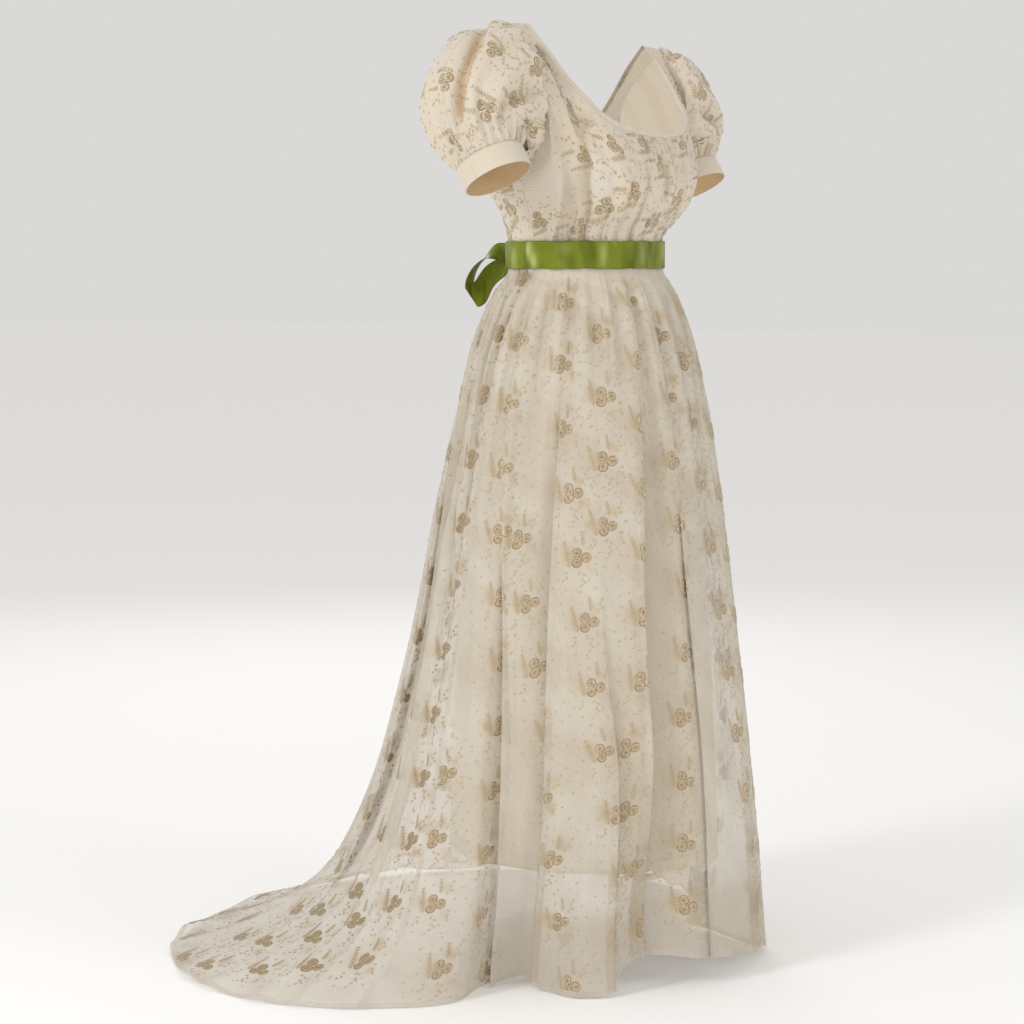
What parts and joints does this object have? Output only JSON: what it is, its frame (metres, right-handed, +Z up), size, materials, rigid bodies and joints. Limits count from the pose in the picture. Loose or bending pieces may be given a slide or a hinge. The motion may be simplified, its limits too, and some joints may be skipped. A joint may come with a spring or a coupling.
{
  "type": "regency gown",
  "caption": "High-waisted gown of sheer embroidered cloth over a lining, with puffed sleeves, a scooped neck, a satin sash tied behind and a round train.",
  "frame": {"origin": "midway between the tops of the two shoulder straps, where the gown is held", "axes": "+Z up, the gown faces -Y, and its wearer's left is +X"},
  "size_m": [0.9878, 0.9041, 1.389],
  "materials": {
    "sheer_cloth": "sheer organza with tan embroidery",
    "lining_cloth": "matt plain weave",
    "satin_ribbon": "satin"
  },
  "bodies": {
    "root": {"bodice_front": "sheer_cloth", "bodice_back_right": "sheer_cloth", "bodice_back_left": "sheer_cloth", "neck_binding": "sheer_cloth", "sleeve_right": "sheer_cloth", "sleeve_left": "sheer_cloth", "cuff_right": "sheer_cloth", "cuff_left": "sheer_cloth", "skirt_front": "sheer_cloth", "skirt_back": "sheer_cloth", "lining_front": "lining_cloth", "lining_back": "lining_cloth", "sash": "satin_ribbon", "bow_knot": "satin_ribbon", "bow_loop_right": "satin_ribbon", "bow_loop_left": "satin_ribbon", "bow_tail_right": "satin_ribbon", "bow_tail_left": "satin_ribbon"}
  },
  "joints": []
}
